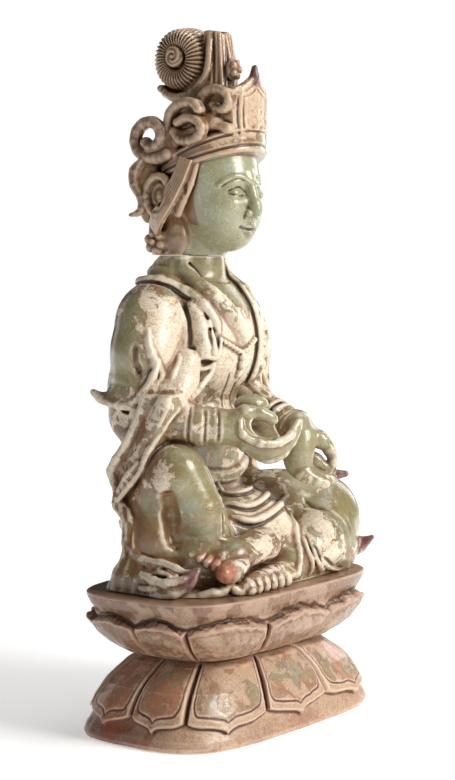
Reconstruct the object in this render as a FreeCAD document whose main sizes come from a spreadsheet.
# Seated crowned jade figure on a double lotus pedestal, built from four carved
# stone blocks that stack on hidden wooden dowels.
#
# Frame: the figure faces -Y, its left side is +X, +Z is up, and the origin is
# the centre of the pedestal's underside.  All sizes are millimetres.
#
# Nodes
#   lotus_base      lower pedestal block, downturned petals
#   base_dowel      dowel across the waist of the pedestal
#   lotus_throne    upper pedestal block, upturned petals and rim
#   seat_dowels     two dowels between throne and figure
#   seated_figure   robed body, arms, hands, legs and drapery, one block
#   neck_dowel      dowel across the neck seam
#   crowned_head    head, hair, crown and scrolls, one block
import FreeCAD, Part
import Sketcher
import math
import os

doc = FreeCAD.newDocument("jade_figurine")
V = FreeCAD.Vector

# ---------------------------------------------------------------- dimensions
dims = doc.addObject("Spreadsheet::Sheet", "Dims")
_row = [0]


def cell(alias, value, note=""):
    """One driving dimension: plain number in column B, its alias set to a word."""
    _row[0] += 1
    i = _row[0]
    dims.set("A%d" % i, alias)
    dims.set("B%d" % i, "%.4f" % value)
    dims.setAlias("B%d" % i, alias)
    if note:
        dims.set("C%d" % i, note)
    return alias


VAL = {}


def size(alias, value, note=""):
    VAL[alias] = float(value)
    cell(alias, value, note)
    return float(value)


seam_gap = size("seam_gap", 0.3, "dry seam between two stacked blocks")
base_top = size("base_top", 60.0, "height of the waist seam")
throne_top = size("throne_top", 113.0, "height of the throne's flat top")
neck_seam = size("neck_seam", 376.0, "height of the neck seam")
total_height = size("total_height", 560.0, "underside to the top of the hair bun")

# pedestal sections: half width, half depth, height, corner radius
SECTIONS = [
    ("base_foot", 131.5, 75.6, 0.0, 56.0),
    ("base_band", 130.5, 74.6, 9.0, 56.0),
    ("base_dome", 119.0, 67.0, 27.0, 54.0),
    ("base_shoulder", 105.0, 59.0, 44.0, 50.0),
    ("base_waist", 94.0, 54.0, 60.0, 46.0),
    ("throne_waist", 93.0, 53.5, 60.3, 46.0),
    ("throne_bowl", 105.0, 60.0, 74.0, 50.0),
    ("throne_lobe", 119.0, 68.0, 88.0, 54.0),
    ("throne_lip", 124.0, 72.0, 100.0, 56.0),
    ("throne_rim", 127.3, 74.8, 113.0, 58.0),
]
for n, a, b, zz, r in SECTIONS:
    size(n + "_half_width", a)
    size(n + "_half_depth", b)
    size(n + "_height", zz)
    size(n + "_corner", r)

doc.recompute()


def bind(obj, prop, expr):
    obj.setExpression(prop, expr)


def D(alias):
    return "Dims." + alias


# ---------------------------------------------------------------- primitives
def rounded_section(name):
    """Closed rounded-rectangle sketch, centred on the Z axis, at its own height."""
    a, b = VAL[name + "_half_width"], VAL[name + "_half_depth"]
    r, zz = VAL[name + "_corner"], VAL[name + "_height"]
    r = min(r, b - 2.0)
    s = doc.addObject("Sketcher::SketchObject", "Sketch_" + name)
    s.Placement.Base = V(0, 0, zz)
    s.setExpression("Placement.Base.z", D(name + "_height"))
    L = Part.LineSegment
    s.addGeometry(L(V(-a + r, -b, 0), V(a - r, -b, 0)))
    s.addGeometry(L(V(a, -b + r, 0), V(a, b - r, 0)))
    s.addGeometry(L(V(a - r, b, 0), V(-a + r, b, 0)))
    s.addGeometry(L(V(-a, b - r, 0), V(-a, -b + r, 0)))
    corners = [(a - r, -b + r, -90, 0), (a - r, b - r, 0, 90),
               (-a + r, b - r, 90, 180), (-a + r, -b + r, 180, 270)]
    for cx, cy, p0, p1 in corners:
        circle = Part.Circle(V(cx, cy, 0), V(0, 0, 1), r)
        s.addGeometry(Part.ArcOfCircle(circle, math.radians(p0), math.radians(p1)))
    C = Sketcher.Constraint
    for line, arc, nxt in ((0, 4, 1), (1, 5, 2), (2, 6, 3), (3, 7, 0)):
        s.addConstraint(C("Tangent", line, 2, arc, 1))
        s.addConstraint(C("Tangent", arc, 2, nxt, 1))
    s.addConstraint(C("Horizontal", 0))
    s.addConstraint(C("Horizontal", 2))
    s.addConstraint(C("Vertical", 1))
    s.addConstraint(C("Vertical", 3))
    for k in (5, 6, 7):
        s.addConstraint(C("Equal", 4, k))
    s.addConstraint(C("Symmetric", 4, 3, 6, 3, -1, 1))
    i = s.addConstraint(C("Radius", 4, r))
    s.setExpression("Constraints[%d]" % i,
                    "min(Dims.%s_corner; Dims.%s_half_depth - 2)" % (name, name))
    i = s.addConstraint(C("DistanceX", 3, 1, 1, 1, 2 * a))
    s.setExpression("Constraints[%d]" % i, "2 * Dims.%s_half_width" % name)
    i = s.addConstraint(C("DistanceY", 0, 1, 2, 1, 2 * b))
    s.setExpression("Constraints[%d]" % i, "2 * Dims.%s_half_depth" % name)
    return s


def place(obj, x, y, z, rot=None):
    obj.Placement = FreeCAD.Placement(V(x, y, z), rot or FreeCAD.Rotation())


def egg(name, x, y, z, rx, ry, rz, rot=None):
    """Ellipsoid with its three half axes and its height bound to the sheet."""
    for key, value in (("x", x), ("y", y), ("z", z), ("rx", rx), ("ry", ry), ("rz", rz)):
        size(name + "_" + key, value)
    o = doc.addObject("Part::Ellipsoid", name)
    o.Radius1, o.Radius2, o.Radius3 = rz, rx, ry
    place(o, x, y, z, rot)
    bind(o, "Radius1", D(name + "_rz"))
    bind(o, "Radius2", D(name + "_rx"))
    bind(o, "Radius3", D(name + "_ry"))
    for k in "xyz":
        bind(o, "Placement.Base." + k, D(name + "_" + k))
    return o


def ball(name, x, y, z, r):
    for key, value in (("x", x), ("y", y), ("z", z), ("rad", r)):
        size(name + "_" + key, value)
    o = doc.addObject("Part::Sphere", name)
    o.Radius = r
    place(o, x, y, z)
    bind(o, "Radius", D(name + "_rad"))
    for k in "xyz":
        bind(o, "Placement.Base." + k, D(name + "_" + k))
    return o


def limb(name, joints):
    """Balls at the joints and a tapered cone along each bone between them."""
    out = [ball("%s_joint_%s" % (name, "abcdefgh"[i]), *j) for i, j in enumerate(joints)]
    for i in range(len(joints) - 1):
        x0, y0, z0, r0 = joints[i]
        x1, y1, z1, r1 = joints[i + 1]
        d = V(x1 - x0, y1 - y0, z1 - z0)
        na = "%s_joint_%s" % (name, "abcdefgh"[i])
        nb = "%s_joint_%s" % (name, "abcdefgh"[i + 1])
        o = doc.addObject("Part::Cone", "%s_bone_%s" % (name, "abcdefgh"[i]))
        o.Radius1, o.Radius2, o.Height = r0 * 0.97, r1 * 0.965, d.Length
        place(o, x0, y0, z0, FreeCAD.Rotation(V(0, 0, 1), d))
        bind(o, "Radius1", "%s * 0.97" % D(na + "_rad"))
        bind(o, "Radius2", "%s * 0.965" % D(nb + "_rad"))
        bind(o, "Height", "sqrt((%s - %s)^2 + (%s - %s)^2 + (%s - %s)^2)" % (
            D(nb + "_x"), D(na + "_x"), D(nb + "_y"), D(na + "_y"), D(nb + "_z"), D(na + "_z")))
        for k in "xyz":
            bind(o, "Placement.Base." + k, D(na + "_" + k))
        out.append(o)
    return out


def rod(name, x, y, z, r, length, rot=None):
    for key, value in (("x", x), ("y", y), ("z", z), ("rad", r), ("len", length)):
        size(name + "_" + key, value)
    o = doc.addObject("Part::Cylinder", name)
    o.Radius, o.Height = r, length
    place(o, x, y, z, rot)
    bind(o, "Radius", D(name + "_rad"))
    bind(o, "Height", D(name + "_len"))
    for k in "xyz":
        bind(o, "Placement.Base." + k, D(name + "_" + k))
    return o


def ring(name, x, y, z, r1, r2, rot=None):
    for key, value in (("x", x), ("y", y), ("z", z), ("big", r1), ("wire", r2)):
        size(name + "_" + key, value)
    o = doc.addObject("Part::Torus", name)
    o.Radius1, o.Radius2 = r1, r2
    place(o, x, y, z, rot)
    bind(o, "Radius1", D(name + "_big"))
    bind(o, "Radius2", D(name + "_wire"))
    for k in "xyz":
        bind(o, "Placement.Base." + k, D(name + "_" + k))
    return o


def slab(name, x, y, z, lx, ly, lz, rot=None):
    for key, value in (("x", x), ("y", y), ("z", z), ("lx", lx), ("ly", ly), ("lz", lz)):
        size(name + "_" + key, value)
    o = doc.addObject("Part::Box", name)
    o.Length, o.Width, o.Height = lx, ly, lz
    place(o, x, y, z, rot)
    bind(o, "Length", D(name + "_lx"))
    bind(o, "Width", D(name + "_ly"))
    bind(o, "Height", D(name + "_lz"))
    for k in "xyz":
        bind(o, "Placement.Base." + k, D(name + "_" + k))
    return o


def loft(name, sections):
    o = doc.addObject("Part::Loft", name)
    o.Sections = [rounded_section(s) for s in sections]
    o.Solid, o.Ruled, o.Closed = True, False, False
    return o


def fuse(name, shapes):
    o = doc.addObject("Part::MultiFuse", name)
    o.Shapes = shapes
    o.Refine = False
    return o


def cut(name, base, tool):
    o = doc.addObject("Part::Cut", name)
    o.Base, o.Tool = base, tool
    return o


def half_turn(side):
    return FreeCAD.Rotation(V(0, 0, 1), 0 if side > 0 else 180)


# ---------------------------------------------------------------- pedestal
# Ten petals go round each block: three along the front and the back, two on
# each end.  Each petal is a low lobe that swells out of the block.
def petal_ring(tag, a, b, z, half, radial, tall):
    out = []
    seats = [(-0.585, -1), (0.0, -1), (0.585, -1), (-0.585, 1), (0.0, 1), (0.585, 1)]
    for i, (fx, sy) in enumerate(seats):
        turn = 20.0 * (1 if fx * sy < 0 else -1) if fx else 0.0
        out.append(egg("%s_petal_%s" % (tag, "abcdef"[i]), fx * a, sy * b * (0.985 if fx else 1.0), z,
                       half, radial, tall, FreeCAD.Rotation(V(0, 0, 1), turn)))
    for i, (sx, fy) in enumerate([(-1, -0.34), (-1, 0.34), (1, -0.34), (1, 0.34)]):
        turn = 90.0 + (12.0 if sx * fy < 0 else -12.0)
        out.append(egg("%s_petal_%s" % (tag, "ghij"[i]), sx * a * 0.985, fy * b, z,
                       half * 0.74, radial, tall, FreeCAD.Rotation(V(0, 0, 1), turn)))
    return out


base_core = loft("base_core", ["base_foot", "base_band", "base_dome", "base_shoulder", "base_waist"])
base_lobes = petal_ring("base", 113.0, 61.0, 22.0, 39.0, 12.0, 22.0)
base_raw = fuse("base_raw", [base_core] + base_lobes)
base_floor = slab("base_trim_floor", -200, -150, -60, 400, 300, 60)
base_roof = slab("base_trim_roof", -200, -150, 60, 400, 300, 60)
base_hole = rod("base_dowel_hole", 0, 0, 34, 12.05, 60)
lotus_base = cut("lotus_base", base_raw, fuse("base_tools", [base_floor, base_roof, base_hole]))

throne_core = loft("throne_core", ["throne_waist", "throne_bowl", "throne_lobe", "throne_lip", "throne_rim"])
throne_lobes = petal_ring("throne", 110.0, 60.0, 88.0, 39.0, 12.0, 17.0)
throne_raw = fuse("throne_raw", [throne_core] + throne_lobes)
throne_floor = slab("throne_trim_floor", -200, -150, 0.3, 400, 300, 60)
throne_under = rod("throne_dowel_hole", 0, 0, 50, 12.6, 36.5)
throne_seat_l = rod("throne_seat_hole_left", 34, 36, 95, 8.05, 40)
throne_seat_r = rod("throne_seat_hole_right", -34, 36, 95, 8.05, 40)
lotus_throne = cut("lotus_throne", throne_raw,
                   fuse("throne_tools", [throne_floor, throne_under, throne_seat_l, throne_seat_r]))

# ---------------------------------------------------------------- dowels
base_dowel = rod("base_dowel", 0, 0, 34, 12.0, 51)
seat_a = rod("seat_dowel_left", 34, 36, 95, 8.0, 36)
seat_b = rod("seat_dowel_right", -34, 36, 95, 8.0, 36)
seat_dowels = doc.addObject("Part::Compound", "seat_dowels")
seat_dowels.Links = [seat_a, seat_b]
neck_dowel = rod("neck_dowel", 0, 32, 352, 8.0, 46)

# ---------------------------------------------------------------- figure
fig = []
fig.append(egg("seat_hem", 0, 2, 116, 112, 66, 9))
fig.append(egg("pelvis", 0, 36, 152, 64, 38, 46))
fig.append(egg("belly", 0, 38, 215, 46, 36, 78))
fig.append(egg("chest", 0, 36, 300, 54, 35, 58))
fig.append(egg("shoulder_yoke", 0, 41, 330, 70, 30, 25))
fig.append(egg("cape_collar", 0, 37, 352, 42, 33, 15))
fig.append(egg("robe_back", 0, 50, 170, 66, 22, 74))
fig += limb("neck_stump", [(0, 32, 345, 30), (0, 32, 380, 24)])
fig += limb("arm_right", [(-56, 44, 318, 27), (-64, 46, 285, 26.5), (-68, 44, 255, 22), (-40, -16, 244, 13)])
fig += limb("arm_left", [(52, 42, 318, 26), (64, 36, 285, 23), (68, 28, 255, 19.5), (61, -30, 231, 12)])
fig.append(egg("sleeve_right", -72, 58, 268, 12, 19, 28))
fig.append(egg("palm_right", -24, -34, 242, 15, 11, 11))
fig += limb("finger_right_index", [(-22, -40, 250, 6), (-6, -50, 253, 5.2), (0, -52, 245, 4.4)])
fig += limb("finger_right_ring", [(-16, -38, 238, 6.4), (2, -48, 233, 5.6), (16, -48, 238, 4.6)])
fig += limb("thumb_right", [(-26, -30, 250, 6.2), (-12, -38, 258, 5.4), (-1, -46, 255, 4.4)])
fig.append(egg("palm_left", 62, -42, 222, 12, 12, 16))
fig += limb("finger_left_index", [(61, -48, 234, 6), (70, -60, 227, 5.2), (71, -64, 214, 4.3)])
fig += limb("thumb_left", [(56, -48, 214, 6.2), (60, -60, 208, 5.2), (68, -65, 208, 4.2)])
fig += limb("finger_left_ring", [(68, -42, 212, 6.4), (76, -54, 202, 5.4), (82, -62, 198, 4.2)])
fig += limb("thigh_right", [(-36, 44, 150, 36), (-60, 15, 188, 34), (-72, -10, 205, 26)])
fig += limb("shin_right", [(-72, -12, 204, 25.5), (-60, -18, 168, 21), (-45, -24, 132, 16)])
fig += limb("foot_right", [(-22, -42, 152, 13), (-45, -44, 143, 13.5), (-68, -46, 133, 8)])
fig += limb("foot_left", [(-30, -36, 126, 12), (-16, -50, 121, 9), (2, -54, 120, 6)])
fig += limb("thigh_left", [(36, 44, 150, 36), (70, 2, 152, 35), (86, -24, 150, 31)])
fig += limb("shin_left", [(84, -26, 146, 31.5), (50, -38, 138, 22), (14, -40, 136, 16)])
fig.append(egg("drape_upper", -84, 40, 235, 9, 17, 42, FreeCAD.Rotation(V(1, 0, 0), -10)))
fig.append(egg("drape_lower", -91, 36, 165, 10, 20, 44))
fig.append(egg("drape_hem", -97, 14, 124, 15, 40, 14))
fig.append(egg("sleeve_left", 74, 20, 236, 11, 19, 26))
fig.append(egg("drape_left", 106, 10, 130, 20, 34, 18))
figure_raw = fuse("figure_raw", fig)
figure_floor = slab("figure_trim_floor", -200, -150, 13.3, 400, 300, 100)
figure_roof = slab("figure_trim_roof", -200, -150, 376, 400, 300, 60)
figure_seat_l = rod("figure_seat_hole_left", 34, 36, 90, 8.6, 42.5)
figure_seat_r = rod("figure_seat_hole_right", -34, 36, 90, 8.6, 42.5)
figure_neck = rod("figure_neck_hole", 0, 32, 352, 8.05, 60)
seated_figure = cut("seated_figure", figure_raw,
                    fuse("figure_tools", [figure_floor, figure_roof, figure_seat_l, figure_seat_r, figure_neck]))

# ---------------------------------------------------------------- head
X_AXIS = FreeCAD.Rotation(V(0, 1, 0), 90)
head = []
head += limb("neck_top", [(0, 32, 366, 24.5), (0, 30, 400, 26)])
head.append(egg("face", 0, 12, 421, 34, 36, 42))
head.append(egg("jaw", 0, 4, 399, 25, 25, 20.5))
head.append(egg("skull", 0, 24, 446, 39, 42, 46))
head.append(egg("hair_nape", 0, 50, 412, 34, 18, 34))
head += limb("nose", [(0, -21, 436, 3.6), (0, -26, 421, 4.6)])
for tag, sx in (("left", 1), ("right", -1)):
    head.append(egg("ear_" + tag, sx * 36, 15, 421, 5, 8, 20))
    head.append(egg("ear_flower_" + tag, sx * 39, 38, 425, 8, 13, 14))
    head += limb("ribbon_" + tag, [(sx * 38, 40, 452, 6.5), (sx * 42, 57, 449, 6.2), (sx * 43, 63, 436, 6.6),
                                   (sx * 43, 61, 412, 3.0)])
    head.append(egg("hair_knot_" + tag, sx * 30, 47, 389, 10, 9, 9))
    head += limb("crown_wall_" + tag, [(sx * 22, -18, 481, 7.5), (sx * 36, 0, 478, 7.0), (sx * 40, 26, 469, 7.2),
                                       (sx * 38, 48, 459, 6.8)])
    head.append(ring("scroll_front_" + tag, sx * 33, -11, 492, 11, 5.5, X_AXIS))
    head.append(ring("scroll_middle_" + tag, sx * 40, 15, 480, 10, 5.2, X_AXIS))
    head.append(ring("scroll_rear_" + tag, sx * 43, 47, 471, 8.5, 4.8, X_AXIS))
head.append(egg("crown_band", 0, 16, 461, 42.5, 45.5, 12, FreeCAD.Rotation(V(1, 0, 0), -20)))
head.append(egg("crown_core", 0, 18, 492, 29, 31, 30))
head.append(slab("plaque", -21, -27, 468, 42, 11, 38))
plaque_tip = doc.addObject("Part::Wedge", "plaque_tip")
for key, value in (("Xmin", 0), ("Xmax", 42), ("X2min", 20), ("X2max", 22), ("Ymin", 0), ("Ymax", 24),
                   ("Zmin", 0), ("Zmax", 11), ("Z2min", 2), ("Z2max", 9)):
    setattr(plaque_tip, key, value)
plaque_tip.Placement = FreeCAD.Placement(V(-21, -16, 506), FreeCAD.Rotation(V(1, 0, 0), 90))
head.append(plaque_tip)
head.append(egg("hair_column", 0, 9, 524, 17, 15.5, 36))
head.append(slab("hair_column_top", -12, -3, 530, 24, 25, 27.5))
head.append(egg("bun_cradle", 0, 36, 516, 21, 22, 12))
head.append(rod("bun", -19, 43, 537.4, 22.0, 38, X_AXIS))
head.append(ring("bun_whorl_left", 19, 43, 537.4, 16.5, 4.6, X_AXIS))
head.append(ring("bun_whorl_right", -19, 43, 537.4, 16.5, 4.6, X_AXIS))
head.append(egg("bun_boss", 0, 43, 537.4, 25, 7, 7))
head_raw = fuse("head_raw", head)
head_floor = slab("head_trim_floor", -200, -150, 276.3, 400, 300, 100)
head_hole = rod("head_neck_hole", 0, 32, 360, 8.6, 39.5)
crowned_head = cut("crowned_head", head_raw, fuse("head_tools", [head_floor, head_hole]))

NODES = [("lotus_base", lotus_base), ("base_dowel", base_dowel), ("lotus_throne", lotus_throne),
         ("seat_dowels", seat_dowels), ("seated_figure", seated_figure),
         ("neck_dowel", neck_dowel), ("crowned_head", crowned_head)]
for label, obj in NODES:
    obj.Label = label

doc.recompute()

bad = [o.Name for o in doc.Objects if "Invalid" in o.State or "Error" in o.State]
if bad:
    raise RuntimeError("objects failed to build: " + ", ".join(bad))
for label, obj in NODES:
    if len(obj.Shape.Solids) > 1:
        print(label, [tuple(round(c) for c in x.CenterOfMass) for x in obj.Shape.Solids])
    if obj.Shape.isNull() or not obj.Shape.isValid():
        raise RuntimeError("bad shape: " + label)
    want = 2 if label == "seat_dowels" else 1
    if len(obj.Shape.Solids) != want:
        raise RuntimeError("%s has %d solids" % (label, len(obj.Shape.Solids)))

os.makedirs("parts", exist_ok=True)
for label, obj in NODES:
    box = obj.Shape.BoundBox
    print("%-14s x %.1f..%.1f  y %.1f..%.1f  z %.1f..%.1f  volume %.0f" % (
        label, box.XMin, box.XMax, box.YMin, box.YMax, box.ZMin, box.ZMax, obj.Shape.Volume))
    obj.Shape.exportStep("parts/" + label + ".step")
